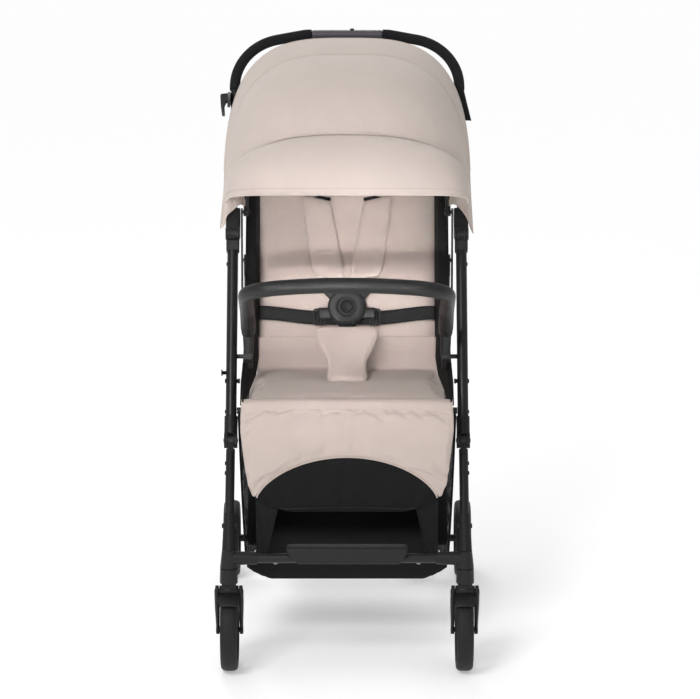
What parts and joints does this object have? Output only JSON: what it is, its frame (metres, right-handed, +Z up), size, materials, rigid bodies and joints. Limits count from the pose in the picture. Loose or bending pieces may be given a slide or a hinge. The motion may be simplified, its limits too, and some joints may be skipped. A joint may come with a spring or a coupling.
{
  "type": "stroller",
  "caption": "Compact folding stroller: bent push handle over an arched canopy, padded reclining seat with bumper bar, swivelling sprung front wheels and a cloth basket.",
  "frame": {"origin": "on the floor, half way along the wheelbase, in the middle plane", "axes": "+Z up, -Y towards the front wheels, +X across to the rider's left as one pushes"},
  "size_m": [0.4686, 0.69, 1.0508],
  "materials": {
    "painted_steel": "satin black paint",
    "moulded_plastic": "moulded, satin",
    "grip_foam": "fine foam",
    "tyre_rubber": "matt",
    "centre_cover": "satin",
    "bar_leather": "smooth leatherette",
    "beige_cloth": "plain woven cloth",
    "black_cloth": "plain woven cloth"
  },
  "bodies": {
    "main_frame": {"middle_tube_left": "painted_steel", "middle_tube_right": "painted_steel", "fold_base_left": "moulded_plastic", "fold_base_right": "moulded_plastic", "knee_joint_left": "moulded_plastic", "knee_joint_right": "moulded_plastic", "hinge_plate_left": "painted_steel", "hinge_plate_right": "painted_steel", "seat_frame": "painted_steel", "seat_pad": "beige_cloth", "calf_rest": "beige_cloth", "crotch_pad": "beige_cloth", "buckle": "moulded_plastic", "waist_belt": "black_cloth", "basket": "black_cloth"},
    "handle": {"handle_tube": "painted_steel", "grip_left": "grip_foam", "grip_right": "grip_foam", "handle_centre_cover": "centre_cover", "fold_housing_left": "moulded_plastic", "fold_housing_right": "moulded_plastic", "handle_tag": "black_cloth"},
    "fold_button": {"fold_button": "moulded_plastic"},
    "fold_slide": {"fold_slide": "moulded_plastic"},
    "storage_hook": {"storage_hook": "moulded_plastic"},
    "front_legs": {"front_leg_left": "painted_steel", "front_leg_right": "painted_steel", "corner_casting_left": "moulded_plastic", "corner_casting_right": "moulded_plastic", "front_cross_tube": "painted_steel", "footrest_pad": "moulded_plastic"},
    "caster_left": {"caster_crown_left": "moulded_plastic"},
    "caster_right": {"caster_crown_right": "moulded_plastic"},
    "fork_left": {"front_fork_left": "moulded_plastic"},
    "fork_right": {"front_fork_right": "moulded_plastic"},
    "front_wheel_left": {"front_left_tyre": "tyre_rubber", "front_left_hub": "moulded_plastic"},
    "front_wheel_right": {"front_right_tyre": "tyre_rubber", "front_right_hub": "moulded_plastic"},
    "rear_legs": {"rear_leg_left": "painted_steel", "rear_leg_right": "painted_steel", "rear_axle": "painted_steel"},
    "rear_wheel_left": {"rear_left_tyre": "tyre_rubber", "rear_left_hub": "moulded_plastic"},
    "rear_wheel_right": {"rear_right_tyre": "tyre_rubber", "rear_right_hub": "moulded_plastic"},
    "brake_pedal": {"brake_pedal": "moulded_plastic"},
    "backrest": {"backrest_frame": "painted_steel", "backrest_pad": "beige_cloth", "shoulder_pad_left": "beige_cloth", "shoulder_pad_right": "beige_cloth"},
    "bumper": {"bumper_bar": "bar_leather", "bumper_bracket_left": "moulded_plastic", "bumper_bracket_right": "moulded_plastic"},
    "buckle_button": {"buckle_button": "moulded_plastic"},
    "canopy_rear": {"canopy_rear_bow": "painted_steel", "canopy_back": "beige_cloth"},
    "canopy_front": {"canopy_front_bow": "painted_steel", "canopy_top": "beige_cloth"},
    "visor": {"visor": "beige_cloth"}
  },
  "joints": [
    {"name": "handle_fold", "type": "hinge", "parent": "main_frame", "child": "handle", "pos_m": [0, 0.04513, 0.71557], "axis": [1, 0, 0], "range_deg": [0, 175], "deforming": ["canopy_back", "canopy_top", "visor", "calf_rest"]},
    {"name": "front_leg_fold", "type": "hinge", "parent": "main_frame", "child": "front_legs", "pos_m": [0, -0.1425, 0.381], "axis": [1, 0, 0], "range_deg": [0, 30]},
    {"name": "rear_leg_fold", "type": "hinge", "parent": "main_frame", "child": "rear_legs", "pos_m": [0, 0.0875, 0.657], "axis": [-1, 0, 0], "range_deg": [0, 21]},
    {"name": "bumper_fold", "type": "hinge", "parent": "main_frame", "child": "bumper", "pos_m": [0, -0.0611, 0.51408], "axis": [-1, 0, 0], "range_deg": [0, 55]},
    {"name": "caster_swivel_left", "type": "hinge", "parent": "front_legs", "child": "caster_left", "pos_m": [-0.206, -0.2945, 0.2106], "axis": [0, 0, 1], "continuous": true},
    {"name": "front_suspension_left", "type": "hinge", "parent": "caster_left", "child": "fork_left", "pos_m": [-0.206, -0.2945, 0.152], "axis": [1, 0, 0], "range_deg": [-6, 0]},
    {"name": "front_wheel_spin_left", "type": "hinge", "parent": "fork_left", "child": "front_wheel_left", "pos_m": [-0.206, -0.2725, 0.0725], "axis": [1, 0, 0], "continuous": true},
    {"name": "rear_wheel_spin_left", "type": "hinge", "parent": "rear_legs", "child": "rear_wheel_left", "pos_m": [-0.22, 0.2725, 0.0725], "axis": [1, 0, 0], "continuous": true},
    {"name": "caster_swivel_right", "type": "hinge", "parent": "front_legs", "child": "caster_right", "pos_m": [0.206, -0.2945, 0.2106], "axis": [0, 0, 1], "continuous": true},
    {"name": "front_suspension_right", "type": "hinge", "parent": "caster_right", "child": "fork_right", "pos_m": [0.206, -0.2945, 0.152], "axis": [1, 0, 0], "range_deg": [-6, 0]},
    {"name": "front_wheel_spin_right", "type": "hinge", "parent": "fork_right", "child": "front_wheel_right", "pos_m": [0.206, -0.2725, 0.0725], "axis": [1, 0, 0], "continuous": true},
    {"name": "rear_wheel_spin_right", "type": "hinge", "parent": "rear_legs", "child": "rear_wheel_right", "pos_m": [0.22, 0.2725, 0.0725], "axis": [1, 0, 0], "continuous": true},
    {"name": "brake_press", "type": "hinge", "parent": "rear_legs", "child": "brake_pedal", "pos_m": [0.125, 0.2725, 0.0725], "axis": [1, 0, 0], "range_deg": [0, 18]},
    {"name": "backrest_recline", "type": "hinge", "parent": "main_frame", "child": "backrest", "pos_m": [0, 0.0455, 0.446], "axis": [1, 0, 0], "range_deg": [-32, 0]},
    {"name": "canopy_rear_fold", "type": "hinge", "parent": "main_frame", "child": "canopy_rear", "pos_m": [0, 0.0925, 0.745], "axis": [-1, 0, 0], "range_deg": [0, 16]},
    {"name": "canopy_fold", "type": "hinge", "parent": "canopy_rear", "child": "canopy_front", "pos_m": [0, 0.0925, 0.745], "axis": [-1, 0, 0], "range_deg": [0, 44]},
    {"name": "visor_fold", "type": "hinge", "parent": "canopy_front", "child": "visor", "pos_m": [0, 0.0925, 0.745], "axis": [-1, 0, 0], "range_deg": [0, 25]},
    {"name": "fold_button_press", "type": "slide", "parent": "handle", "child": "fold_button", "axis": [0, -0.8192, 0.5736], "range_m": [0, 0.0025]},
    {"name": "fold_slide_move", "type": "slide", "parent": "handle", "child": "fold_slide", "axis": [1, 0, 0], "range_m": [0, 0.009]},
    {"name": "storage_hook_turn", "type": "hinge", "parent": "handle", "child": "storage_hook", "pos_m": [-0.206, 0.21417, 0.9317], "axis": [1, 0, 0], "range_deg": [-20, 0]},
    {"name": "buckle_button_press", "type": "slide", "parent": "main_frame", "child": "buckle_button", "axis": [0, 0.9135, -0.4067], "range_m": [0, 0.0022]}
  ],
  "couplings": [
    {"joint": "front_leg_fold", "follows": "handle_fold", "ratio": 0.17143},
    {"joint": "rear_leg_fold", "follows": "handle_fold", "ratio": 0.12},
    {"joint": "bumper_fold", "follows": "handle_fold", "ratio": 0.31429},
    {"joint": "canopy_rear_fold", "follows": "canopy_fold", "ratio": 0.36364},
    {"joint": "visor_fold", "follows": "canopy_fold", "ratio": 0.56818}
  ]
}
